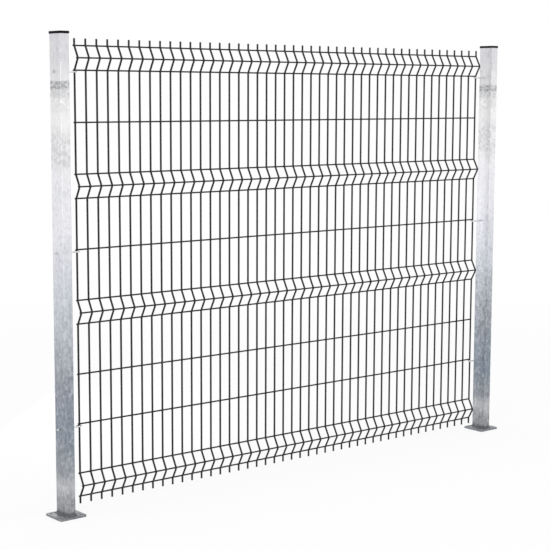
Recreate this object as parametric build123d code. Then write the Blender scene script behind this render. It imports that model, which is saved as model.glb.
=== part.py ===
"""Welded mesh fence panel: a V-folded wire panel hung between two footed box posts.

Millimetres. X runs along the fence, Y from the front, where the folds stand out, to the back, and Z is up.
The origin is on the ground, midway between the posts and on their centre line.
"""

import os
from math import atan, cos, degrees, hypot, pi, sin, sqrt

from build123d import *

# Wires, rods and the holes for them have this many sides, whose flats touch the true round
ROUND_SIDES = 8

# Mesh panel: vertical wires in front, horizontal wires welded across their backs
VERTICAL_WIRES = 46
VERTICAL_PITCH = 50.0
VERTICAL_DIAMETER = 8.0
HORIZONTAL_DIAMETER = 6.5
HORIZONTAL_OVERHANG = 2.0
WELD_GAP = 0.2
MESH_HEIGHT = 200.0
FOLD_HEIGHT = 94.0
FOLD_DEPTH = 26.0
BARB_LENGTH = 27.0

# Folds from the ground up, and the bays between one fold and the next with their count of meshes
LOWER_BAY_MESHES = 3
MIDDLE_BAY_MESHES = 2
UPPER_BAY_MESHES = 2
FOLDS = ("bottom_fold", "lower_fold", "upper_fold", "top_fold")
BAYS = (
    ("lower_bay", LOWER_BAY_MESHES),
    ("middle_bay", MIDDLE_BAY_MESHES),
    ("upper_bay", UPPER_BAY_MESHES),
)

# How the panel stands: clear of the ground, behind the posts' centre line and clear of the posts
GROUND_CLEARANCE = 35.0
PANEL_SET_BACK = 14.0
POST_CLEARANCE = 51.0

# Box-section posts
POST_WIDTH = 40.0
POST_DEPTH = 80.0
POST_WALL = 2.0
POST_BORE_RADIUS = 2.0
POST_ABOVE_BARBS = 15.0

# Foot plates with four anchor holes, and the weld bead round each post's foot
PLATE_THICKNESS = 8.0
PLATE_MARGIN_ACROSS = 20.0
PLATE_CORNER_RADIUS = 10.0
ANCHOR_HOLE_DIAMETER = 14.0
ANCHOR_TO_EDGE = 11.0
ANCHOR_TO_WELD = 9.0
FOOT_WELD_LEG = 6.0
FOOT_WELD_TOE = 0.6

# Push-in plastic caps: a flange on the tube's end and a hollow plug with lamellas inside it
CAP_THICKNESS = 10.0
CAP_TOP_WALL = 3.0
CAP_OVERHANG = 2.5
CAP_EDGE_CHAMFER = 2.0
CAP_PLUG_LENGTH = 28.0
CAP_PLUG_WALL = 2.0
CAP_FIT = 0.3
CAP_LAMELLAS = 3
CAP_LAMELLA_HEIGHT = 1.5
CAP_LAMELLA_THICKNESS = 1.5

# Hook bolts: each turns round an end wire, under a horizontal wire, and a nut outside the post draws it tight
HOOK_DIAMETER = 6.0
HOOK_CLEARANCE = 0.4
HOOK_CHORDS = 5
HOOK_TAIL = 10.0
HOOK_HOLE_CLEARANCE = 0.5
HOOK_THREAD_SHOWING = 5.0
NUT_WALL = 2.0
NUT_HEIGHT = 5.0
NUT_BORE_CLEARANCE = 0.15
WASHER_RIM = 3.0
WASHER_THICKNESS = 1.6
WASHER_BORE_CLEARANCE = 0.2
HOOKED_WIRES = {
    "bottom": "lower_bay_wire_1",
    "middle": "middle_bay_wire_1",
    "top": "top_fold_lower_wire",
}

# Sizes that follow from those above, with the left post's faces along the fence
vertical_radius = VERTICAL_DIAMETER / 2
horizontal_radius = HORIZONTAL_DIAMETER / 2
hook_radius = HOOK_DIAMETER / 2
back_seat = vertical_radius + WELD_GAP + horizontal_radius
nose_seat = vertical_radius + WELD_GAP + horizontal_radius / cos(pi / ROUND_SIDES)
hook_turn = vertical_radius + HOOK_CLEARANCE + hook_radius
half_fold = FOLD_HEIGHT / 2
fold_flank = hypot(half_fold, FOLD_DEPTH)
end_wire_x = VERTICAL_PITCH * (VERTICAL_WIRES - 1) / 2
post_x = end_wire_x + vertical_radius + POST_CLEARANCE + POST_WIDTH / 2
post_outer_face = -post_x - POST_WIDTH / 2
post_radius = POST_BORE_RADIUS + POST_WALL
bore_width = POST_WIDTH - 2 * POST_WALL
bore_depth = POST_DEPTH - 2 * POST_WALL


def horizontal_levels():
    """Each horizontal wire's name, height and whether it lies in a fold's nose, from the ground up."""
    levels = []
    height = GROUND_CLEARANCE + BARB_LENGTH
    for index, fold in enumerate(FOLDS):
        levels.append((f"{fold}_lower_wire", height, False))
        levels.append((f"{fold}_nose_wire", height + half_fold, True))
        height += FOLD_HEIGHT
        levels.append((f"{fold}_upper_wire", height, False))
        if index < len(BAYS):
            bay, meshes = BAYS[index]
            for mesh in range(1, meshes):
                levels.append((f"{bay}_wire_{mesh}", height + mesh * MESH_HEIGHT, False))
            height += meshes * MESH_HEIGHT
    return levels


LEVELS = horizontal_levels()
height_of = {name: height for name, height, in_nose in LEVELS}
panel_top = height_of[f"{FOLDS[-1]}_upper_wire"] + BARB_LENGTH
post_top = panel_top + POST_ABOVE_BARBS


def round_outline(diameter):
    """The many-sided outline that stands for a round of this diameter."""
    return RegularPolygon(diameter / 2, ROUND_SIDES, major_radius=False, rotation=180 / ROUND_SIDES)


def eased_rectangle(width, depth, radius):
    """A rectangle whose corners are cut off straight, along the middle of the round that stands there."""
    return chamfer(Rectangle(width, depth).vertices(), radius * (2 - sqrt(2)))


def facing_along(x, y, z):
    """A plane square to the fence's length, for outlines that run along it."""
    return Plane(origin=(x, y, z), x_dir=(0, 1, 0), z_dir=(1, 0, 0))


def hook_line(level):
    """Y and Z of a hook bolt's shank, in front of the end wire and just below its horizontal wire."""
    drop = horizontal_radius + HOOK_CLEARANCE + hook_radius
    return PANEL_SET_BACK - hook_turn, height_of[HOOKED_WIRES[level]] - drop


def vertical_wire():
    """One folded wire at X = 0, mitred at its bends, from barb to barb."""
    points = [(0, PANEL_SET_BACK, GROUND_CLEARANCE)]
    for fold in FOLDS:
        points.append((0, PANEL_SET_BACK, height_of[f"{fold}_lower_wire"]))
        points.append((0, PANEL_SET_BACK - FOLD_DEPTH, height_of[f"{fold}_nose_wire"]))
        points.append((0, PANEL_SET_BACK, height_of[f"{fold}_upper_wire"]))
    points.append((0, PANEL_SET_BACK, panel_top))
    section = Pos(*points[0]) * round_outline(VERTICAL_DIAMETER)
    return sweep(section, path=Polyline(*points), transition=Transition.RIGHT).solid()


def horizontal_wire(height, in_nose):
    """A straight wire across the backs of the vertical wires, or nestled inside the nose of their fold."""
    y = PANEL_SET_BACK + back_seat
    if in_nose:
        y = PANEL_SET_BACK - FOLD_DEPTH + nose_seat * fold_flank / half_fold
    length = 2 * (end_wire_x + HORIZONTAL_OVERHANG)
    return extrude(facing_along(-length / 2, y, height) * round_outline(HORIZONTAL_DIAMETER), length)


def post():
    """A box tube standing on its foot plate, drilled through both broad walls for the hook bolts."""
    tube = RectangleRounded(POST_WIDTH, POST_DEPTH, post_radius)
    tube -= eased_rectangle(bore_width, bore_depth, POST_BORE_RADIUS)
    body = Pos(-post_x, 0, PLATE_THICKNESS) * extrude(tube, post_top - PLATE_THICKNESS)
    hole = round_outline(HOOK_DIAMETER + 2 * HOOK_HOLE_CLEARANCE)
    for level in HOOKED_WIRES:
        y, z = hook_line(level)
        body -= extrude(facing_along(post_outer_face, y, z) * hole, POST_WIDTH)
    return body


def foot_plate():
    """A flat plate with clipped corners and an anchor hole near each of them."""
    inset = ANCHOR_TO_EDGE + ANCHOR_HOLE_DIAMETER / 2
    along = POST_WIDTH + 2 * (FOOT_WELD_LEG + ANCHOR_TO_WELD + ANCHOR_HOLE_DIAMETER + ANCHOR_TO_EDGE)
    across = POST_DEPTH + 2 * PLATE_MARGIN_ACROSS
    outline = eased_rectangle(along, across, PLATE_CORNER_RADIUS)
    outline -= GridLocations(along - 2 * inset, across - 2 * inset, 2, 2) * Circle(ANCHOR_HOLE_DIAMETER / 2)
    return Pos(-post_x, 0, 0) * extrude(outline, PLATE_THICKNESS)


def foot_weld():
    """A bead round the post's foot that slopes from a thin edge on its wall down to the plate."""
    grow = 2 * FOOT_WELD_LEG
    slope = degrees(atan((FOOT_WELD_LEG - FOOT_WELD_TOE) / FOOT_WELD_LEG))
    outline = eased_rectangle(POST_WIDTH + grow, POST_DEPTH + grow, post_radius + FOOT_WELD_LEG)
    bead = extrude(outline, FOOT_WELD_LEG, taper=slope)
    bead -= extrude(eased_rectangle(POST_WIDTH, POST_DEPTH, post_radius), FOOT_WELD_LEG)
    return Pos(-post_x, 0, PLATE_THICKNESS) * bead


def cap():
    """A flange with a bevelled top on a hollow plug, whose lamellas stop just short of the tube's wall."""
    grow = 2 * CAP_OVERHANG
    lid = eased_rectangle(POST_WIDTH + grow, POST_DEPTH + grow, post_radius + CAP_OVERHANG)
    flange = extrude(lid, CAP_THICKNESS)
    flange = chamfer(flange.faces().sort_by(Axis.Z)[-1].edges(), CAP_EDGE_CHAMFER)
    lamella_width = bore_width - 2 * CAP_FIT
    lamella_depth = bore_depth - 2 * CAP_FIT
    plug_width = lamella_width - 2 * CAP_LAMELLA_HEIGHT
    plug_depth = lamella_depth - 2 * CAP_LAMELLA_HEIGHT
    plug = extrude(Rectangle(plug_width, plug_depth), -CAP_PLUG_LENGTH)
    lamella = extrude(eased_rectangle(lamella_width, lamella_depth, POST_BORE_RADIUS), CAP_LAMELLA_THICKNESS)
    lamella_pitch = CAP_PLUG_LENGTH / (CAP_LAMELLAS + 1)
    for index in range(CAP_LAMELLAS):
        plug += Pos(0, 0, -(index + 1) * lamella_pitch) * lamella
    hollow = Rectangle(plug_width - 2 * CAP_PLUG_WALL, plug_depth - 2 * CAP_PLUG_WALL)
    hollow_height = CAP_PLUG_LENGTH + CAP_THICKNESS - CAP_TOP_WALL
    body = flange + plug
    body -= Pos(0, 0, -CAP_PLUG_LENGTH) * extrude(hollow, hollow_height)
    return Pos(-post_x, 0, post_top) * body


def hook_bolt(level):
    """A rod through the post that turns round the end wire and comes back behind it."""
    y, z = hook_line(level)
    thread_end = post_outer_face - WASHER_THICKNESS - NUT_HEIGHT - HOOK_THREAD_SHOWING
    corner_radius = hook_turn / cos(pi / (2 * HOOK_CHORDS))
    points = [(thread_end, y, z)]
    for chord in range(HOOK_CHORDS):
        angle = pi * (chord + 0.5) / HOOK_CHORDS - pi / 2
        x = corner_radius * cos(angle) - end_wire_x
        points.append((x, PANEL_SET_BACK + corner_radius * sin(angle), z))
    points.append((-end_wire_x - HOOK_TAIL, PANEL_SET_BACK + hook_turn, z))
    section = facing_along(*points[0]) * round_outline(HOOK_DIAMETER)
    return sweep(section, path=Polyline(*points), transition=Transition.RIGHT)


def hook_washers():
    """Plain washers, flat against the outer wall of the post."""
    outline = round_outline(HOOK_DIAMETER + 2 * WASHER_RIM)
    outline -= round_outline(HOOK_DIAMETER + 2 * WASHER_BORE_CLEARANCE)
    washers = []
    for level in HOOKED_WIRES:
        y, z = hook_line(level)
        washers.append(extrude(facing_along(post_outer_face, y, z) * outline, -WASHER_THICKNESS).solid())
    return Compound(washers)


def hook_nuts():
    """Hexagon nuts, one on each washer."""
    outline = RegularPolygon(hook_radius + NUT_WALL, 6, major_radius=False)
    outline -= round_outline(HOOK_DIAMETER + 2 * NUT_BORE_CLEARANCE)
    seat = post_outer_face - WASHER_THICKNESS
    nuts = []
    for level in HOOKED_WIRES:
        y, z = hook_line(level)
        nuts.append(extrude(facing_along(seat, y, z) * outline, -NUT_HEIGHT).solid())
    return Compound(nuts)


def both_ends(name, shape):
    """The piece at the left end of the fence and its mirror image at the right end."""
    return {f"left_{name}": shape, f"right_{name}": mirror(shape, about=Plane.YZ)}


nodes = {}
for name, height, in_nose in LEVELS:
    nodes[name] = horizontal_wire(height, in_nose)

folded_wire = vertical_wire()
nodes.update(both_ends("end_wire", Pos(-end_wire_x, 0, 0) * folded_wire))
inner_positions = [index * VERTICAL_PITCH - end_wire_x for index in range(1, VERTICAL_WIRES - 1)]
nodes["inner_vertical_wires"] = Compound([Pos(x, 0, 0) * folded_wire for x in inner_positions])

nodes.update(both_ends("post", post()))
nodes.update(both_ends("foot_plate", foot_plate()))
nodes.update(both_ends("foot_weld", foot_weld()))
nodes.update(both_ends("cap", cap()))
for level in HOOKED_WIRES:
    nodes.update(both_ends(f"{level}_hook_bolt", hook_bolt(level)))
nodes.update(both_ends("hook_washers", hook_washers()))
nodes.update(both_ends("hook_nuts", hook_nuts()))

os.makedirs("parts", exist_ok=True)
for name, shape in nodes.items():
    export_step(shape, f"parts/{name}.step")
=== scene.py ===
from math import cos, pi, radians, sin

import bmesh
import bpy
import numpy as np
from mathutils import Matrix, Vector


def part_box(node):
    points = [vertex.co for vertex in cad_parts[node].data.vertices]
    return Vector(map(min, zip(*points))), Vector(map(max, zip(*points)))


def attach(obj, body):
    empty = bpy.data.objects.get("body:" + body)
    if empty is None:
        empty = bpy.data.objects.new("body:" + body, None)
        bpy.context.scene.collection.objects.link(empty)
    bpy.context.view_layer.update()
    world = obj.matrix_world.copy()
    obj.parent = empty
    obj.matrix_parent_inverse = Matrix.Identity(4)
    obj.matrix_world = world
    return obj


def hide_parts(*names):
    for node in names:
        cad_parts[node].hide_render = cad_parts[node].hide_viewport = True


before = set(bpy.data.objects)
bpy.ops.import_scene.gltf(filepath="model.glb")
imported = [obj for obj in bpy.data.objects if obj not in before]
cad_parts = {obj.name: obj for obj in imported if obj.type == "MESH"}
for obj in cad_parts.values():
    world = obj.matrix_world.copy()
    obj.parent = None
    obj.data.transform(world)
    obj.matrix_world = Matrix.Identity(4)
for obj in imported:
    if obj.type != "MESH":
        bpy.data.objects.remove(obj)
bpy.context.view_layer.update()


# Foot plates: flat steel squares with a hole near each corner for an anchor bolt. They are cut from
# plate, drilled, welded under the posts and dipped in molten zinc with them, which rounds every edge.
MM = 0.001
ENDS = ("left", "right")
PLATE_CORNER_RADIUS = 10 * MM
PLATE_EDGE_ROUND = 1.2 * MM
ANCHOR_INSET = 18 * MM
ANCHOR_RADIUS = 7 * MM
ANCHOR_EDGE_ROUND = 0.8 * MM
ANCHOR_SIDES = 64
EDGE_STEPS = 4
ANGLE_DIGITS = 9
NEARLY_ZERO = 1e-9
MERGE_DISTANCE = 0.001 * MM
SHARP_ANGLE = radians(38)

# The zinc's tones by share of the post's height, which paint light and shade on the posts, pale at the
# top and darker low down, and the marks that the bath and the weld leave in it, with painted shade at
# the posts' feet and along the foot plates' rims.
ZINC_AND_PAINTED_LIGHT_BY_HEIGHT = [
    (0.00, (0.36, 0.375, 0.395, 1)),
    (0.05, (0.39, 0.395, 0.41, 1)),
    (0.17, (0.25, 0.30, 0.365, 1)),
    (0.31, (0.38, 0.405, 0.455, 1)),
    (0.44, (0.62, 0.65, 0.70, 1)),
    (0.60, (0.82, 0.82, 0.86, 1)),
    (0.86, (0.86, 0.86, 0.86, 1)),
    (0.90, (0.77, 0.77, 0.78, 1)),
    (1.00, (0.675, 0.67, 0.705, 1)),
]
ZINC_SHADE = (0.14, 0.145, 0.16, 1)
ZINC_SHINE = (0.90, 0.90, 0.92, 1)
# A dark tone for soot and for painted shade at the posts' feet and the plates' rims.
ZINC_SOOT_AND_SHADE = (0.05, 0.05, 0.055, 1)
SPANGLES_PER_METRE = 105.0
WANDER_HEIGHTS = (0.1, 0.5)
# Levels of the ramp over which the marbling's dark marks grow, so the posts darken further low down.
DARKER_LOW_LEVELS = (0.30, 0.62)
COLLAR_HEIGHT = 120 * MM
COLLAR_HALF = 50 * MM
COLLAR_WANDER = 50 * MM
BELT_HEIGHT = 1440 * MM
BELT_HALF = 95 * MM
BELT_SOFT = 50 * MM
BELT_WANDER = 60 * MM
DRAIN_HEIGHT = 1687 * MM
DRAIN_HALF = 18 * MM
DRAIN_SOFT = 6 * MM
SMEAR_HEIGHT = DRAIN_HEIGHT - 16 * MM
SMEAR_HALF = 36 * MM
SMEAR_SOFT = 10 * MM
DROPS_HEIGHT = DRAIN_HEIGHT - 74 * MM
DROPS_HALF = 32 * MM
DROPS_SOFT = 12 * MM
# Reach and height of the soot and painted shadow round each post's foot, and of the rim's painted shade.
SOOT_AND_SHADOW_REACH = (5 * MM, 13 * MM)
SOOT_AND_SHADOW_HEIGHT = (10 * MM, 30 * MM)
RIM_WIDTH = 12 * MM
RIM_HEIGHT = (9 * MM, 12 * MM)


class Tone:
    """One socket of a material. Arithmetic on it adds Math nodes, and node adds any other kind of
    node."""

    def __init__(self, tree, socket):
        self.tree = tree
        self.socket = socket

    def node(self, kind, settings, inputs, output=0):
        """Adds a node, gives it its settings, then its inputs' values or links, and returns one
        output."""
        made = self.tree.nodes.new(kind)
        for name, value in settings.items():
            if name == "stops":
                stops = made.color_ramp.elements
                for position, _ in value[1:-1]:
                    stops.new(position)
                for stop, (position, colour) in zip(stops, value):
                    stop.position = position
                    stop.color = colour
            else:
                setattr(made, name, value)
        for name, value in inputs.items():
            if isinstance(value, Tone):
                self.tree.links.new(value.socket, made.inputs[name])
            else:
                made.inputs[name].default_value = value
        return Tone(self.tree, made.outputs[output] if made.outputs else None)

    def maths(self, operation, first, second):
        """Adds a Math node for one operation on two numbers or sockets."""
        return self.node("ShaderNodeMath", {"operation": operation}, {0: first, 1: second})

    def __add__(self, other):
        return self.maths("ADD", self, other)

    def __sub__(self, other):
        return self.maths("SUBTRACT", self, other)

    def __rsub__(self, other):
        return self.maths("SUBTRACT", other, self)

    def __mul__(self, other):
        return self.maths("MULTIPLY", self, other)

    def __abs__(self):
        return self.maths("ABSOLUTE", self, 0.0)

    __radd__ = __add__
    __rmul__ = __mul__


def new_finish(name):
    """A material with no shader yet, and its Object coordinates to start from."""
    material = bpy.data.materials.new(name)
    material.use_nodes = True
    material.node_tree.nodes.clear()
    start = Tone(material.node_tree, None)
    return material, start.node("ShaderNodeTexCoord", {}, {}, "Object")


def close_finish(shader):
    """Gives the finished shader to its material's output."""
    shader.node("ShaderNodeOutputMaterial", {}, {"Surface": shader})


def noise(place, scale, detail, stretch=(1, 1, 1), swirl=0.0):
    """Soft noise from 0 to 1 with so many features to a metre, drawn out along the axes where stretch
    is small and curled where swirl is large."""
    drawn = place.node("ShaderNodeMapping", {}, {"Vector": place, "Scale": stretch})
    inputs = {"Vector": drawn, "Scale": scale, "Detail": detail, "Distortion": swirl}
    return place.node("ShaderNodeTexNoise", {}, inputs, "Fac")


def mix_colours(share, first, second):
    """The first colour where share is 0, the second where it is 1. A Mix node takes colours in its
    sockets 6 and 7 and gives the mixed one as output 2."""
    return share.node("ShaderNodeMix", {"data_type": "RGBA"}, {0: share, 6: first, 7: second}, 2)


def fade(value, low, high):
    """0 below low, 1 above high and an even slope between."""
    inputs = {"Value": value, "From Min": low, "From Max": high, "To Min": 0.0, "To Max": 1.0}
    return value.node("ShaderNodeMapRange", {}, inputs)


def band(height, middle, half, soft):
    """1 inside a band of heights, falling to 0 over a soft margin just inside its edges."""
    return fade(half - abs(height - middle), 0.0, soft)


def bump(height, depth, strength):
    """A normal for a surface whose relief is height times depth."""
    inputs = {"Height": height, "Distance": depth, "Strength": strength}
    return height.node("ShaderNodeBump", {}, inputs)


def centre_of(node):
    """The middle of a CAD node's box and half its size, as arrays."""
    low, high = (np.array(corner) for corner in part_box(node))
    return (low + high) / 2, (high - low) / 2


post_middle, post_half = centre_of("right_post")
plate_half = centre_of("right_foot_plate")[1]
post_axis = post_middle[0]
post_top = post_middle[2] + post_half[2]


def marbled_zinc(place, height, clouds, spangle):
    """The tone for each height, which wanders with the clouds, is painted light and shade: pale high up
    and darker low down. Curls, short runs and spangle cells darken it and the gaps between the curls
    brighten it, most of all low down."""
    wander = (clouds - 0.5) * (fade(height, *WANDER_HEIGHTS) * 0.13 + 0.02)
    level = height * (1 / post_top) + wander
    lower = 1 - fade(level, *DARKER_LOW_LEVELS)
    patches = fade(noise(place, scale=7.0, detail=3.0), 0.46, 0.62)
    curls = noise(place, scale=90.0, detail=6.0, stretch=(1, 1, 0.6), swirl=0.5)
    runs = noise(place, scale=1.0, detail=4.0, stretch=(95, 95, 9))
    dark_curls = fade(curls, 0.48, 0.70) * (lower * 0.26 + patches * 0.16 + 0.05)
    bright_gaps = fade(0.50 - curls, 0.0, 0.22) * (lower * 0.20 + 0.12)
    dark_runs = fade(runs, 0.52, 0.74) * (lower * 0.46 + 0.05)
    dark_spangle = spangle * (lower * 0.18 + 0.04)
    # The height ramp paints light and shade: pale near the top of each post and darker low down.
    colour = place.node("ShaderNodeValToRGB", {"stops": ZINC_AND_PAINTED_LIGHT_BY_HEIGHT}, {"Fac": level})
    colour = mix_colours(dark_curls, colour, ZINC_SHADE)
    colour = mix_colours(bright_gaps, colour, ZINC_SHINE)
    colour = mix_colours(dark_runs, colour, ZINC_SHADE)
    return mix_colours(dark_spangle, colour, ZINC_SHADE)


def dip_marks(colour, place, height, clouds, blotches):
    """What the bath leaves: a pale collar above the foot, a dull mottled belt higher up, and near the
    top a band of dark dashes where the zinc drained, with a blotchy smear and bright drops under it."""
    dashes = noise(place, scale=105.0, detail=3.0, stretch=(0.45, 0.45, 1.6))
    mottles = noise(place, scale=60.0, detail=4.0)
    collar = band(height + (clouds - 0.5) * COLLAR_WANDER, COLLAR_HEIGHT, COLLAR_HALF, COLLAR_HALF)
    drained = band(height, DRAIN_HEIGHT, DRAIN_HALF, DRAIN_SOFT) * fade(dashes, 0.40, 0.60)
    smeared = band(height, SMEAR_HEIGHT, SMEAR_HALF, SMEAR_SOFT) * fade(blotches, 0.34, 0.62)
    belt = band(height + (clouds - 0.5) * BELT_WANDER, BELT_HEIGHT, BELT_HALF, BELT_SOFT)
    dulled = belt * fade(mottles * 0.6 + blotches * 0.4, 0.42, 0.58)
    dripping = band(height, DROPS_HEIGHT, DROPS_HALF, DROPS_SOFT)
    colour = mix_colours(collar * 0.30, colour, ZINC_SHINE)
    colour = mix_colours(drained * 0.56, colour, ZINC_SHADE)
    colour = mix_colours(smeared * 0.30, colour, ZINC_SHADE)
    colour = mix_colours(dulled * 0.27, colour, ZINC_SHADE)
    colour = mix_colours(dripping * 0.07, colour, ZINC_SHADE)
    return mix_colours(dripping * fade(mottles, 0.55, 0.63), colour, ZINC_SHINE)


def foot_soot_and_shade(colour, place, height, blotches):
    """Blotchy soot round the weld with a painted shadow where the post meets the plate, fading along
    the plate and up the post, and painted shade along the plate's rim and sides.
    """
    along = abs(place.node("ShaderNodeSeparateXYZ", {}, {0: place}, "X"))
    across = abs(place.node("ShaderNodeSeparateXYZ", {}, {0: place}, "Y"))
    from_axis = abs(along - post_axis)
    from_post = place.maths("MAXIMUM", from_axis - post_half[0], across - post_half[1])
    from_middle = place.maths("MAXIMUM", from_axis, across)
    soot_and_shadow = (1 - fade(from_post, *SOOT_AND_SHADOW_REACH)) * (1 - fade(height, *SOOT_AND_SHADOW_HEIGHT))
    rim = fade(from_middle, plate_half[0] - RIM_WIDTH, plate_half[0]) * (1 - fade(height, *RIM_HEIGHT))
    # Soot, and a painted shadow in the corner where the post meets the plate.
    colour = mix_colours(soot_and_shadow * (blotches * 0.9 + 0.32), colour, ZINC_SOOT_AND_SHADE)
    # Painted shade along the plate's outer edge and its sides.
    return mix_colours(rim * (blotches * 0.6 + 0.05), colour, ZINC_SOOT_AND_SHADE)


def hot_dip_zinc():
    """Zinc from a molten bath: marbled, with painted light and shade that make it pale above and darker
    below, the marks of the bath, and soot and painted shade at the foot. Clouds and spangle cells vary
    its gloss, and with a fine grain its relief."""
    material, place = new_finish("hot_dip_zinc")
    height = place.node("ShaderNodeSeparateXYZ", {}, {0: place}, "Z")
    spangle_inputs = {"Vector": place, "Scale": SPANGLES_PER_METRE}
    cells = place.node("ShaderNodeTexVoronoi", {}, spangle_inputs, "Color")
    spangle = place.node("ShaderNodeSeparateColor", {}, {0: cells})
    clouds = noise(place, scale=11.0, detail=5.0)
    blotches = noise(place, scale=105.0, detail=4.0)
    grain = noise(place, scale=420.0, detail=3.0)
    colour = marbled_zinc(place, height, clouds, spangle)
    colour = dip_marks(colour, place, height, clouds, blotches)
    colour = foot_soot_and_shade(colour, place, height, blotches)
    close_finish(place.node("ShaderNodeBsdfPrincipled", {}, {
        "Base Color": colour,
        "Metallic": 0.75,
        "Roughness": clouds * 0.25 + spangle * 0.10 + 0.34,
        "Normal": bump(spangle * 0.5 + grain * 0.5 + clouds, depth=0.25 * MM, strength=0.35),
    }))
    return material


def lattice(points):
    """Quads between the rows and columns of one grid of points, the last column joined to the first."""
    rows, columns = points.shape[:2]
    row, column = np.meshgrid(np.arange(rows - 1), np.arange(columns), indexing="ij")
    here = row * columns + column
    beside = row * columns + (column + 1) % columns
    return np.stack([here, beside, beside + columns, here + columns], -1).reshape(-1, 4)


def make_piece(name, grids, finish, slot, *nodes):
    """One object from closed grids of points. Doubled points are merged, so seams and poles close."""
    sizes = [grid.shape[0] * grid.shape[1] for grid in grids]
    starts = np.cumsum([0] + sizes[:-1])
    points = np.concatenate([grid.reshape(-1, 3) for grid in grids])
    quads = np.concatenate([lattice(grid) + start for grid, start in zip(grids, starts)])
    mesh = bpy.data.meshes.new(name)
    mesh.from_pydata(points.tolist(), [], quads.tolist())
    joined = bmesh.new()
    joined.from_mesh(mesh)
    bmesh.ops.remove_doubles(joined, verts=joined.verts, dist=MERGE_DISTANCE)
    joined.to_mesh(mesh)
    joined.free()
    mesh.shade_smooth()
    mesh.set_sharp_from_angle(angle=SHARP_ANGLE)
    mesh.materials.append(finish)
    piece = bpy.data.objects.new(name, mesh)
    bpy.context.scene.collection.objects.link(piece)
    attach(piece, "root")
    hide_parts(*nodes)


def unit(vectors):
    """The same directions at a length of one."""
    return vectors / np.linalg.norm(vectors, axis=-1, keepdims=True)


def outward_of(path, core):
    """Directions out of a rectangle with round corners: away from the nearest point of its core, the
    smaller rectangle between the middles of its corner rounds."""
    return unit(path - np.clip(path, -core, core))


def quarter_turns(points):
    """The points as they are, then turned about Z by one, two and three quarters of a circle."""
    x, y, rest = points[..., :1], points[..., 1:2], points[..., 2:]
    return [np.concatenate([*turned, rest], -1) for turned in ((x, y), (-y, x), (-x, -y), (y, -x))]


def plate_quarter(half, thickness):
    """A quarter of a square plate, spun round its hole: a ray at each angle runs from the hole's
    rounded rim to the side, seam or corner round that it meets, above and below. Rays also go to the
    corners between these. Returns the grid, and which of its rays end at the plate's outer edge."""
    flat = half - PLATE_EDGE_ROUND
    core = half - PLATE_CORNER_RADIUS
    hole = half - ANCHOR_INSET
    seam_x = np.array([0, flat, flat, core, 0]) - hole
    seam_y = np.array([0, 0, core, flat, flat]) - hole
    seam_turn = np.arctan2(seam_y, seam_x)
    even_turn = np.linspace(0, 2 * pi, ANCHOR_SIDES, endpoint=False)
    turn = np.concatenate([even_turn, seam_turn - seam_turn[0]]) % (2 * pi)
    turn = np.unique(np.round(turn, ANGLE_DIGITS)) + seam_turn[0]
    along, across = np.cos(turn), np.sin(turn)
    to_side_x = np.where(along > 0, flat - hole, hole) / np.maximum(abs(along), NEARLY_ZERO)
    to_side_y = np.where(across > 0, flat - hole, hole) / np.maximum(abs(across), NEARLY_ZERO)
    reach = np.minimum(to_side_x, to_side_y)
    rounded = (hole + along * reach > core) & (hole + across * reach > core)
    lean = (hole - core) * (along + across)
    to_round = np.sqrt(np.maximum(lean ** 2 - 2 * (hole - core) ** 2 + (flat - core) ** 2, 0)) - lean
    reach = np.where(rounded, to_round, reach)

    ease = np.linspace(0, pi / 2, EDGE_STEPS)
    rim = ANCHOR_RADIUS + ANCHOR_EDGE_ROUND * (1 - np.sin(ease))
    fall = ANCHOR_EDGE_ROUND * (1 - np.cos(ease))
    bore = np.concatenate([rim, rim[::-1]])[:, None] + 0 * reach
    radius = np.concatenate([[reach], bore, [reach]])
    height = np.concatenate([[thickness], thickness - fall, fall[::-1], [0]])[:, None] + 0 * radius
    quarter = np.stack([hole + along * radius, hole + across * radius, height], -1)
    edge_x, edge_y = quarter[0, :, 0], quarter[0, :, 1]
    on_side = (edge_x > flat - MERGE_DISTANCE) | (edge_y > flat - MERGE_DISTANCE)
    return quarter, on_side | rounded


def plate_rim(edge, half, thickness):
    """A straight side with a quarter round under and over it, carried round the outline that a
    quarter's outer edge makes when it is turned four times."""
    path = np.concatenate(quarter_turns(edge))
    ease = np.linspace(0, pi / 2, EDGE_STEPS)
    lift = np.concatenate([ease - pi / 2, ease])
    out = PLATE_EDGE_ROUND * np.cos(lift)
    level = np.repeat([PLATE_EDGE_ROUND, thickness - PLATE_EDGE_ROUND], EDGE_STEPS)
    rise = level + PLATE_EDGE_ROUND * np.sin(lift)
    side = path + outward_of(path, half - PLATE_CORNER_RADIUS) * out[:, None, None]
    return np.concatenate([side, rise[:, None, None] + 0 * side[..., :1]], -1)


zinc = hot_dip_zinc()
for end in ENDS:
    middle, half = centre_of(f"{end}_foot_plate")
    underside = middle - [0, 0, half[2]]
    quarter, outer = plate_quarter(half[0], 2 * half[2])
    rim = plate_rim(quarter[0, outer, :2][:-1], half[0], 2 * half[2])
    grids = [grid + underside for grid in quarter_turns(quarter) + [rim]]
    make_piece(f"{end}_drilled_foot_plate", grids, zinc, "galvanised_steel", f"{end}_foot_plate")


# Posts: box-section steel tubes with rounded corners, drilled for the hook bolts and dipped in zinc.
# The CAD tubes have that shape, so they stay and only take the zinc's finish.
for end in ENDS:
    for finish_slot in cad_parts[f"{end}_post"].material_slots:
        finish_slot.material = zinc


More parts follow.
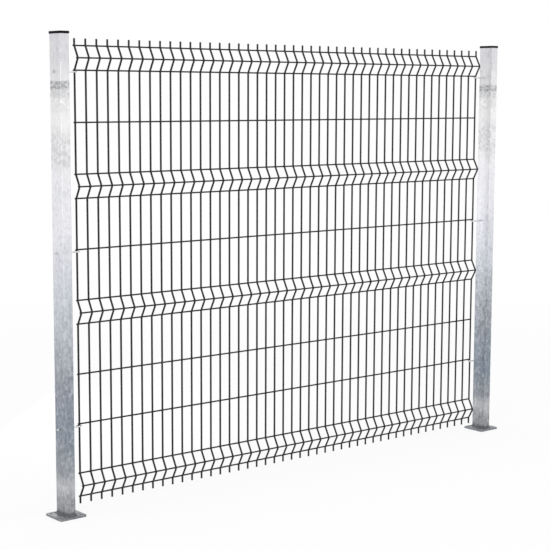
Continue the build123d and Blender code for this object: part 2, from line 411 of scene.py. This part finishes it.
# Foot welds: a fillet of weld metal laid round each post's foot by hand before dipping, so it swells
# and dips along its length in crescent ripples and has the same zinc on it.
WELD_LEG = 6 * MM
WELD_FULLNESS = 1.4
WELD_RIPPLES = 58
WELD_RIPPLE_DEPTH = 0.05
WELD_RIPPLE_BOW = 0.45
WELD_SLOW_SWELLS = 5
WELD_QUICK_SWELLS = 13
WELD_SWELL_LAG = 1.0
WELD_SWELL_DEPTH = 0.03
WELD_RIPPLE_STEPS = 8
WELD_STEPS = WELD_RIPPLE_STEPS * WELD_RIPPLES
WELD_SECTION_STEPS = 8
POST_CORNER_RADIUS = 4 * MM
POST_CORNER_STEPS = 16


def rounded_outline(half_x, half_y, radius, steps):
    """A rectangle's outline with round corners, anticlockwise, with so many steps to each corner.
    Columns of half sizes and radii give a row of outlines."""
    corner = np.repeat(np.arange(4), steps + 1)
    angle = (corner + np.tile(np.linspace(0, 1, steps + 1), 4)) * pi / 2
    middle_x = (half_x - radius) * np.array([1, -1, -1, 1])[corner]
    middle_y = (half_y - radius) * np.array([1, 1, -1, -1])[corner]
    return np.stack([middle_x + radius * np.cos(angle), middle_y + radius * np.sin(angle)], -1)


def weld_bead(half_x, half_y, radius):
    """A section carried round the post's outline: from the plate up to the wall it follows a
    superellipse that is a little fuller than a straight bevel, then it closes through the root. Its
    size swells with a cosine whose phase bows across the bead, for the ripples, and with two slow
    sines, for the unsteady hand."""
    outline = rounded_outline(half_x, half_y, radius, POST_CORNER_STEPS)
    looped = np.concatenate([outline, outline[:1]])
    run = np.concatenate([[0], np.cumsum(np.linalg.norm(np.diff(looped, axis=0), axis=1))])
    share = np.arange(WELD_STEPS) / WELD_STEPS
    path = np.stack([np.interp(share * run[-1], run, looped[:, axis]) for axis in (0, 1)], -1)
    outward = outward_of(path, np.array([half_x - radius, half_y - radius]))
    lift = np.linspace(0, pi / 2, WELD_SECTION_STEPS)[:, None]
    crest = np.sin(2 * lift)
    ripples = crest * np.cos(2 * pi * (WELD_RIPPLES * share + WELD_RIPPLE_BOW * crest))
    swells = np.sin(2 * pi * WELD_SLOW_SWELLS * share + WELD_SWELL_LAG)
    swells += np.sin(2 * pi * WELD_QUICK_SWELLS * share)
    size = WELD_LEG * (1 + WELD_RIPPLE_DEPTH * ripples + WELD_SWELL_DEPTH * swells)
    away = size * np.abs(np.cos(lift)) ** (2 / WELD_FULLNESS)
    above = size * np.abs(np.sin(lift)) ** (2 / WELD_FULLNESS)
    root = np.zeros((1, WELD_STEPS))
    away = np.concatenate([away, root, away[:1]])[:, :, None]
    above = np.concatenate([above, root, above[:1]])[:, :, None]
    return np.concatenate([path + outward * away, above], -1)


for end in ENDS:
    middle, half = centre_of(f"{end}_post")
    foot = middle - [0, 0, half[2]]
    bead = weld_bead(half[0], half[1], POST_CORNER_RADIUS) + foot
    make_piece(f"{end}_rippled_foot_weld", [bead], zinc, "galvanised_steel", f"{end}_foot_weld")


# Caps: black plastic mouldings pushed into the open tops of the posts. A lid with rounded edges and a
# slightly domed top overhangs the tube, and a hollow plug with three ribs grips inside it.
CAP_CORNER_RADIUS = 6.5 * MM
CAP_LEAST_RADIUS = 0.5 * MM
CAP_CORNER_STEPS = 6
CAP_EDGE_ROUND = 2 * MM
CAP_LIP_ROUND = 0.6 * MM
CAP_EDGE_STEPS = 5
CAP_DOME = 0.4 * MM
CAP_DOME_RINGS = 5
CAP_TOP_WALL = 3 * MM
CAP_PLUG_INSET = 6.3 * MM
CAP_PLUG_WALL = 2 * MM
CAP_RIB_HEIGHT = 1.5 * MM
CAP_RIB_THICKNESS = 1.5 * MM
CAP_RIBS = 3
CAP_BLACK = (0.003, 0.003, 0.0033, 1)
CAP_SCUFFED = (0.007, 0.007, 0.0075, 1)


def black_plastic():
    """Dull black moulded plastic with the fine grain of its mould and faint scuffs."""
    material, place = new_finish("black_moulded_plastic")
    grain = noise(place, scale=1600.0, detail=2.0)
    scuffs = noise(place, scale=60.0, detail=6.0, stretch=(1, 6, 6))
    close_finish(place.node("ShaderNodeBsdfPrincipled", {}, {
        "Base Color": mix_colours(fade(scuffs, 0.55, 0.8), CAP_BLACK, CAP_SCUFFED),
        "Roughness": grain * 0.15 + scuffs * 0.15 + 0.50,
        "Specular IOR Level": 0.10,
        "Normal": bump(grain, depth=0.05 * MM, strength=0.4),
    }))
    return material


def cap_profile(thickness, plug_length):
    """How far in from the lid's side, and how far above the tube's end: from the plug's hollow down its
    inside, up its outside over the ribs, out under the lid and up its rounded edge."""
    hollow = CAP_PLUG_INSET + CAP_PLUG_WALL
    rib_edge = CAP_PLUG_INSET - CAP_RIB_HEIGHT
    profile = [(hollow, thickness - CAP_TOP_WALL)]
    profile += [(hollow, -plug_length), (CAP_PLUG_INSET, -plug_length)]
    for rib in range(CAP_RIBS, 0, -1):
        low = -rib * plug_length / (CAP_RIBS + 1)
        high = low + CAP_RIB_THICKNESS
        profile += [(CAP_PLUG_INSET, low), (rib_edge, low), (rib_edge, high), (CAP_PLUG_INSET, high)]
    profile.append((CAP_PLUG_INSET, 0))
    ease = np.linspace(0, pi / 2, CAP_EDGE_STEPS)
    shoulder = thickness - CAP_DOME - CAP_EDGE_ROUND
    profile += zip(CAP_LIP_ROUND * (1 - np.sin(ease)), CAP_LIP_ROUND * (1 - np.cos(ease)))
    profile += zip(CAP_EDGE_ROUND * (1 - np.cos(ease)), shoulder + CAP_EDGE_ROUND * np.sin(ease))
    return np.array(profile)


def cap_grid(half_x, half_y, thickness, plug_length):
    """The cap's profile carried round a rectangle with round corners, closed in the middle of the
    hollow by a flat and on top by a dome that falls with the square of the share of the way out."""
    inset, height = cap_profile(thickness, plug_length).T[:, :, None]
    radius = np.maximum(CAP_CORNER_RADIUS - inset, CAP_LEAST_RADIUS)
    outline = rounded_outline(half_x - inset, half_y - inset, radius, CAP_CORNER_STEPS)
    rings = np.concatenate([outline, height[:, :, None] + 0 * outline[..., :1]], -1)
    inner_pole = rings[:1] * [0, 0, 1]
    share = np.linspace(1, 0, CAP_DOME_RINGS + 1)[1:, None, None]
    dome_height = rings[-1:, :, 2:] + CAP_DOME * (1 - share ** 2)
    dome = np.concatenate([rings[-1:, :, :2] * share, dome_height], -1)
    return np.concatenate([inner_pole, rings, dome])


plastic = black_plastic()
for end in ENDS:
    middle, half = centre_of(f"{end}_cap")
    thickness = middle[2] + half[2] - post_top
    plug_length = post_top - middle[2] + half[2]
    cap = cap_grid(half[0], half[1], thickness, plug_length) + [middle[0], middle[1], post_top]
    make_piece(f"{end}_moulded_cap", [cap], plastic, "black_plastic", f"{end}_cap")


# Vertical wires: drawn steel wire, cut to length and bent into four V-shaped folds after welding, which
# make the panel stiff. Their cut ends stand past the outermost horizontal wires. The panel is zinc
# coated, then powder coated dark grey.
WIRE_SIDES = 10
WIRE_CUT_CHAMFER = 0.5 * MM
WIRE_BEND_RADIUS = 11 * MM
WIRE_BEND_STEPS = 5
INNER_WIRES = 44
FOLD_DEPTH = 26 * MM
FOLD_NAMES = ("bottom_fold", "lower_fold", "upper_fold", "top_fold")
FOLD_PARTS = ("lower", "nose", "upper")
COAT_DARK = (0.011, 0.0115, 0.0125, 1)
COAT_WORN = (0.020, 0.021, 0.0225, 1)


def dark_powder_coat():
    """Satin dark grey powder coat with a fine peel in its surface and slightly cloudy tone and gloss."""
    material, place = new_finish("dark_powder_coat")
    peel = noise(place, scale=1300.0, detail=2.0)
    clouds = noise(place, scale=28.0, detail=4.0)
    close_finish(place.node("ShaderNodeBsdfPrincipled", {}, {
        "Base Color": mix_colours(fade(clouds, 0.3, 0.7), COAT_DARK, COAT_WORN),
        "Roughness": clouds * 0.14 + peel * 0.08 + 0.30,
        "Specular IOR Level": 0.25,
        "Normal": bump(peel, depth=0.06 * MM, strength=0.35),
    }))
    return material


def swept_rod(path, heading, side, radius, sides):
    """A circle carried along a flat path. side is square to the path's plane. Each point is the path's
    point plus radius times its angle's cosine along side and its sine along heading cross side."""
    angle = np.linspace(0, 2 * pi, sides, endpoint=False)[None, :, None]
    spoke = np.cos(angle) * np.array(side) + np.sin(angle) * np.cross(heading, side)[:, None, :]
    radius = np.broadcast_to(np.reshape(radius, (len(path), -1)), (len(path), sides))
    return path[:, None, :] + radius[:, :, None] * spoke


def cut_ends(path, heading, radius, chamfer):
    """Adds a small chamfer and a flat face to both ends of a path of constant radius."""
    first, last = path[:1], path[-1:]
    start = [first, first, first + chamfer * heading[:1]]
    finish = [last - chamfer * heading[-1:], last, last]
    path = np.concatenate([*start, path[1:-1], *finish])
    heading = np.concatenate([heading[:1], heading[:1], heading, heading[-1:], heading[-1:]])
    radii = np.full(len(path), radius)
    radii[[0, -1]] = 0
    radii[[1, -2]] = radius - chamfer
    return path, heading, radii


def folded_path():
    """The line of one wire in its own plane: straight runs through the folds' heights, with each corner
    replaced by an arc that touches both runs. The arc's centre lies on the corner's bisector, radius
    over the cosine of half the turn away from the corner."""
    wire, half = centre_of("left_end_wire")
    wire_radius = half[0]
    y_flat = wire[1] + half[1] - wire_radius
    y_nose = y_flat - FOLD_DEPTH
    corners = [(y_flat, wire[2] - half[2])]
    for fold in FOLD_NAMES:
        for part, y in zip(FOLD_PARTS, (y_flat, y_nose, y_flat)):
            corners.append((y, centre_of(f"{fold}_{part}_wire")[0][2]))
    corners.append((y_flat, wire[2] + half[2]))
    corners = np.array(corners)
    runs = unit(np.diff(corners, axis=0))
    before, after = runs[:-1, None], runs[1:, None]
    outward = unit(before - after)
    onward = unit(before + after)
    half_turn = np.arccos(np.sum(before * onward, axis=-1, keepdims=True))
    centre = corners[1:-1, None] - outward * WIRE_BEND_RADIUS / np.cos(half_turn)
    angle = half_turn * np.linspace(-1, 1, WIRE_BEND_STEPS)[:, None]
    arcs = centre + WIRE_BEND_RADIUS * (np.cos(angle) * outward + np.sin(angle) * onward)
    bends = np.cos(angle) * onward - np.sin(angle) * outward
    line = np.concatenate([corners[:1], arcs.reshape(-1, 2), corners[-1:]])
    heading = np.concatenate([runs[:1], bends.reshape(-1, 2), runs[-1:]])
    flat = np.zeros((len(line), 1))
    return np.hstack([flat, line]), np.hstack([flat, heading]), wire_radius


coat = dark_powder_coat()
fold_line, fold_heading, wire_radius = folded_path()
line, heading, radii = cut_ends(fold_line, fold_heading, wire_radius, WIRE_CUT_CHAMFER)
folded_wire = swept_rod(line, heading, (1, 0, 0), radii, WIRE_SIDES)
end_places = [centre_of(f"{end}_end_wire")[0][0] for end in ENDS]
wire_places = np.linspace(*end_places, INNER_WIRES + 2)
inner_grids = [folded_wire + [x, 0, 0] for x in wire_places[1:-1]]
make_piece("folded_inner_wires", inner_grids, coat, "coated_wire", "inner_vertical_wires")
for end, wire_x in zip(ENDS, end_places):
    end_wire = folded_wire + [wire_x, 0, 0]
    make_piece(f"{end}_folded_end_wire", [end_wire], coat, "coated_wire", f"{end}_end_wire")


# Horizontal wires: straight drawn wire, welded across the backs of the vertical wires and inside the
# noses of their folds, and cut off just past the middles of the end wires, under the same powder coat.
HORIZONTAL_WIRES = [f"{fold}_{part}_wire" for fold in FOLD_NAMES for part in FOLD_PARTS]
HORIZONTAL_WIRES += ["lower_bay_wire_1", "lower_bay_wire_2", "middle_bay_wire_1", "upper_bay_wire_1"]
for node in HORIZONTAL_WIRES:
    middle, half = centre_of(node)
    line = np.array([middle - [half[0], 0, 0], middle + [half[0], 0, 0]])
    heading = np.array([[1.0, 0, 0], [1.0, 0, 0]])
    line, heading, radii = cut_ends(line, heading, half[1], WIRE_CUT_CHAMFER)
    rod = swept_rod(line, heading, (0, 1, 0), radii, WIRE_SIDES)
    make_piece(f"round_{node}", [rod], coat, "coated_wire", node)


# Crossing welds: current and pressure fuse the two wires wherever they cross, and the squeezed metal
# shows as a small flat lens between them, under the powder coat.
NUGGET_HALF = np.array([4.4, 2.0, 3.8]) * MM
NUGGET_SIDES = 8
NUGGET_BANDS = 4


def weld_lens():
    """A ball drawn out to the nugget's half sizes: rings of constant latitude about the Y axis."""
    angle = np.linspace(0, 2 * pi, NUGGET_SIDES, endpoint=False)[None, :]
    lift = np.linspace(-pi / 2, pi / 2, NUGGET_BANDS + 1)[:, None]
    ball = [np.cos(lift) * np.cos(angle), np.sin(lift) + 0 * angle, -np.cos(lift) * np.sin(angle)]
    return np.stack(ball, -1) * NUGGET_HALF


lens = weld_lens()
nuggets = []
for node in HORIZONTAL_WIRES:
    middle, half = centre_of(node)
    nuggets += [lens + [x, middle[1] - half[1], middle[2]] for x in wire_places]
make_piece("crossing_welds", nuggets, coat, "coated_wire")


# Hook bolts: zinc-plated rods, threaded at one end and bent into a hook at the other. Each hooks round
# an end wire under a horizontal wire and runs through the post, where a nut outside draws it tight.
HOOK_SIDES = 16
HOOK_BEND_STEPS = 17
HOOK_TAIL = 10 * MM
THREAD_PITCH = 1.0 * MM
THREAD_DEPTH = 0.5 * MM
THREAD_LENGTH = 16 * MM
THREAD_RUNOUT = 2 * THREAD_PITCH
THREAD_STEPS = 6
HOOK_LEVELS = ("bottom", "middle", "top")
PLATING_BRIGHT = (0.74, 0.75, 0.76, 1)
PLATING_DULL = (0.52, 0.53, 0.53, 1)


def zinc_plating():
    """Thin bright zinc plating with cloudy patches and fine lines from drawing and handling."""
    material, place = new_finish("zinc_plating")
    clouds = noise(place, scale=120.0, detail=4.0)
    lines = noise(place, scale=500.0, detail=2.0, stretch=(0.1, 1, 1))
    close_finish(place.node("ShaderNodeBsdfPrincipled", {}, {
        "Base Color": mix_colours(fade(clouds, 0.35, 0.75), PLATING_BRIGHT, PLATING_DULL),
        "Metallic": 0.9,
        "Roughness": clouds * 0.2 + lines * 0.1 + 0.18,
        "Normal": bump(lines, depth=0.03 * MM, strength=0.3),
    }))
    return material


def hook_rod(node, wire_x, wire_y):
    """A rod carried along a straight shank, a half turn round the wire and a short tail. On the
    threaded end the radius falls by a cosine of the distance along the rod less the angle round it,
    which winds once a pitch."""
    middle, half = centre_of(node)
    towards = np.sign(wire_x)
    rod_radius = half[2]
    turn_radius = half[1] - rod_radius
    shank = abs(middle[0] + towards * half[0] - wire_x)
    run = np.append(np.arange(0, THREAD_LENGTH, THREAD_PITCH / THREAD_STEPS), THREAD_LENGTH)
    turn = np.linspace(-pi / 2, pi / 2, HOOK_BEND_STEPS)
    along = np.concatenate([run - shank, turn_radius * np.cos(turn), [-HOOK_TAIL]])
    away = np.concatenate([0 * run - turn_radius, turn_radius * np.sin(turn), [turn_radius]])
    path = np.stack([wire_x - towards * along, wire_y + away, 0 * along + middle[2]], -1)
    onward = np.concatenate([0 * run + 1, -np.sin(turn), [-1]])
    sideways = np.concatenate([0 * run, np.cos(turn), [0]])
    heading = np.stack([-towards * onward, sideways, 0 * onward], -1)

    angle = np.linspace(0, 2 * pi, HOOK_SIDES, endpoint=False)[None, :]
    strength = np.clip((THREAD_LENGTH - run) / THREAD_RUNOUT, 0, 1)[:, None]
    groove = 0.5 - 0.5 * np.cos(2 * pi * run[:, None] / THREAD_PITCH - angle)
    radii = np.full((len(path), HOOK_SIDES), rod_radius)
    radii[:len(run)] -= THREAD_DEPTH * strength * groove
    radii[0] -= THREAD_DEPTH / 2
    radii[-1] -= WIRE_CUT_CHAMFER

    last, tail_heading = path[-1:], heading[-1:]
    path = np.concatenate([path[:1], path[:-1], last - tail_heading * WIRE_CUT_CHAMFER, last, last])
    heading = np.concatenate([heading[:1], heading, tail_heading, tail_heading])
    none = np.zeros((1, HOOK_SIDES))
    radii = np.concatenate([none, radii[:-1], none + rod_radius, radii[-1:], none])
    return swept_rod(path, heading, (0, 0, 1), radii, HOOK_SIDES)


plating = zinc_plating()
wire_y = fold_line[0, 1]
for end, wire_x in zip(ENDS, end_places):
    for level in HOOK_LEVELS:
        node = f"{end}_{level}_hook_bolt"
        rod = hook_rod(node, wire_x, wire_y)
        make_piece(f"{end}_{level}_threaded_hook", [rod], plating, "zinc_fasteners", node)


# Washers: plain rings stamped from sheet steel, tumbled, which rounds their edges, and zinc plated. One
# on each hook bolt lies against the post's outer face and spreads the nut's push over the thin wall.
WASHER_RIM_RADIUS = 6 * MM
WASHER_BORE_RADIUS = 3.2 * MM
WASHER_EDGE_ROUND = 0.3 * MM
WASHER_SIDES = 32


def turned_ring(along, radius, axis_y, axis_z):
    """A closed section turned about a line along X: each row of along and radius holds one ring."""
    angle = np.linspace(0, 2 * pi, radius.shape[1], endpoint=False)[None, :]
    return np.stack([along, axis_y + radius * np.cos(angle), axis_z + radius * np.sin(angle)], -1)


def round_washer(low, high, axis_y, axis_z):
    """A flat section turned about the bolt: the rim with a quarter round at each edge, then the bore."""
    ease = np.linspace(0, pi / 2, EDGE_STEPS)
    inward = WASHER_EDGE_ROUND * (1 - np.cos(ease))
    rim = WASHER_RIM_RADIUS - WASHER_EDGE_ROUND * (1 - np.sin(ease))
    along = np.concatenate([low + inward, high - inward[::-1], [high, low, low]])
    radius = np.concatenate([rim, rim[::-1], [WASHER_BORE_RADIUS, WASHER_BORE_RADIUS, rim[0]]])
    along, radius = (np.tile(row[:, None], WASHER_SIDES) for row in (along, radius))
    return turned_ring(along, radius, axis_y, axis_z)


def hook_axes(end):
    """Y and Z of the three hook bolts' shanks at one end."""
    shanks = []
    for level in HOOK_LEVELS:
        middle, half = centre_of(f"{end}_{level}_hook_bolt")
        shanks.append((middle[1] - half[1] + half[2], middle[2]))
    return shanks


for end in ENDS:
    middle, half = centre_of(f"{end}_hook_washers")
    low, high = middle[0] - half[0], middle[0] + half[0]
    washers = [round_washer(low, high, y, z) for y, z in hook_axes(end)]
    make_piece(f"{end}_round_washers", washers, plating, "zinc_fasteners", f"{end}_hook_washers")


# Nuts: hexagon nuts of steel, pressed and tapped, with their corners turned off at both faces, and zinc
# plated. One on each hook bolt, outside the washer, draws the hook tight.
NUT_SIDES = 60
NUT_FLAT_RADIUS = 5 * MM
NUT_FACE_RADIUS = 4.85 * MM
NUT_BORE_RADIUS = 3.1 * MM
NUT_CHAMFER_SLOPE = 0.55


def hexagon_nut(low, high, axis_y, axis_z):
    """A hexagon's radius is its flats' radius over the cosine of the angle from the nearest flat. A cone
    turns off the corners at each face: the chamfer is the overhang past a circle times the slope."""
    angle = np.linspace(0, 2 * pi, NUT_SIDES, endpoint=False)[None, :]
    from_flat = (angle + pi / 6) % (pi / 3) - pi / 6
    hexagon = NUT_FLAT_RADIUS / np.cos(from_flat)
    face = np.full_like(hexagon, NUT_FACE_RADIUS)
    bore = np.full_like(hexagon, NUT_BORE_RADIUS)
    chamfer = (hexagon - face) * NUT_CHAMFER_SLOPE
    start, finish = np.full_like(hexagon, low), np.full_like(hexagon, high)
    along = np.concatenate([start, start + chamfer, finish - chamfer, finish, finish, start, start])
    radius = np.concatenate([face, hexagon, hexagon, face, bore, bore, face])
    return turned_ring(along, radius, axis_y, axis_z)


for end in ENDS:
    middle, half = centre_of(f"{end}_hook_nuts")
    low, high = middle[0] - half[0], middle[0] + half[0]
    nuts = [hexagon_nut(low, high, y, z) for y, z in hook_axes(end)]
    make_piece(f"{end}_hexagon_nuts", nuts, plating, "zinc_fasteners", f"{end}_hook_nuts")


# Studio: a plain white floor that keeps a faint shadow, and a white surround. Soft light comes from
# above and from both sides, and a small softbox behind the fence lights the right post's inner face.
# Each lamp has its place, the point it is aimed at, its size and its power.
FLOOR_HALF = 30.0
FLOOR_GLOW = 0.82
FLOOR_LIT_REACH = 2.0
FLOOR_GLOW_REACH = 6.0
FLOOR_WHITE = (0.9, 0.9, 0.9, 1)
WHITE = (1, 1, 1, 1)
SURROUND_LEVEL = 0.85
DIRECT_RAYS = ("Is Camera Ray", "Is Glossy Ray", "Is Transmission Ray")
LAMPS = (
    ("right_softbox", (4.2, -5.0, 3.4), (0.5, 0.0, 1.0), 2.4, 25.0),
    ("left_softbox", (-7.0, -3.0, 3.0), (0.0, 0.0, 0.9), 3.0, 90.0),
    ("overhead_softbox", (0.0, -0.5, 4.6), (0.0, 0.0, 0.9), 3.0, 40.0),
    ("rear_softbox", (-0.45, 1.7, 0.55), (1.2, 0.0, 0.55), 1.0, 4.6),
)


def seen_directly(place):
    """1 for rays from the camera and from shiny or clear surfaces, 0 for rays that gather light."""
    seen, shiny, clear = (place.node("ShaderNodeLightPath", {}, {}, kind) for kind in DIRECT_RAYS)
    return fade(seen + shiny + clear, 0.0, 1.0)


floor_finish, place = new_finish("white_floor")
lit = place.node("ShaderNodeBsdfDiffuse", {}, {"Color": FLOOR_WHITE})
glow = place.node("ShaderNodeEmission", {}, {"Color": WHITE, "Strength": 1.0})
from_object = place.node("ShaderNodeVectorMath", {"operation": "LENGTH"}, {0: place}, "Value")
far_off = fade(from_object, FLOOR_LIT_REACH, FLOOR_GLOW_REACH)
glowing = seen_directly(place) * (far_off * (1 - FLOOR_GLOW) + FLOOR_GLOW)
close_finish(place.node("ShaderNodeMixShader", {}, {0: glowing, 1: lit, 2: glow}))
floor_mesh = bpy.data.meshes.new("studio_floor")
floor_corners = [(-FLOOR_HALF, -FLOOR_HALF, 0), (FLOOR_HALF, -FLOOR_HALF, 0),
                 (FLOOR_HALF, FLOOR_HALF, 0), (-FLOOR_HALF, FLOOR_HALF, 0)]
floor_mesh.from_pydata(floor_corners, [], [(0, 1, 2, 3)])
floor_mesh.materials.append(floor_finish)
floor = bpy.data.objects.new("studio_floor", floor_mesh)
bpy.context.scene.collection.objects.link(floor)

surround = bpy.data.worlds.new("white_surround")
surround.use_nodes = True
surround.node_tree.nodes.clear()
bpy.context.scene.world = surround
start = Tone(surround.node_tree, None)
backdrop = start.node("ShaderNodeBackground", {}, {"Color": WHITE, "Strength": 1.0})
soft_light = start.node("ShaderNodeBackground", {}, {"Color": WHITE, "Strength": SURROUND_LEVEL})
shown = start.node("ShaderNodeMixShader", {}, {0: seen_directly(start), 1: soft_light, 2: backdrop})
start.node("ShaderNodeOutputWorld", {}, {"Surface": shown})

for name, position, aim, size, power in LAMPS:
    lamp = bpy.data.lights.new(name, "AREA")
    lamp.size = size
    lamp.energy = power
    softbox = bpy.data.objects.new(name, lamp)
    softbox.location = position
    softbox.rotation_euler = (Vector(aim) - Vector(position)).to_track_quat("-Z", "Y").to_euler()
    softbox.visible_camera = False
    bpy.context.scene.collection.objects.link(softbox)


# Camera: fitted to the wires in the photograph. It stands in front of the fence, to the left of its
# middle and a little below its top, and looks to the right and slightly down.
CAMERA_PLACE = Vector((-4.06143, -4.76493, 1.65543))
CAMERA_YAW = radians(39.4805)
CAMERA_PITCH = radians(7.1915)
CAMERA_ROLL = radians(0.2005)
CAMERA_LENS = 93.8511
CAMERA_SENSOR = 36.0
CAMERA_REACH = 200.0
forward = Vector((sin(CAMERA_YAW) * cos(CAMERA_PITCH),
                  cos(CAMERA_YAW) * cos(CAMERA_PITCH),
                  -sin(CAMERA_PITCH)))
level_right = Vector((cos(CAMERA_YAW), -sin(CAMERA_YAW), 0))
level_up = level_right.cross(forward)
right = level_right * cos(CAMERA_ROLL) + level_up * sin(CAMERA_ROLL)
up = level_up * cos(CAMERA_ROLL) - level_right * sin(CAMERA_ROLL)
turned = Matrix((right, up, -forward)).transposed().to_4x4()
camera = bpy.data.objects.new("photo_camera", bpy.data.cameras.new("photo_camera"))
camera.data.lens = CAMERA_LENS
camera.data.sensor_width = CAMERA_SENSOR
camera.data.clip_end = CAMERA_REACH
camera.matrix_world = Matrix.Translation(CAMERA_PLACE) @ turned
bpy.context.scene.collection.objects.link(camera)
bpy.context.scene.camera = camera
bpy.context.scene.view_settings.view_transform = "Standard"
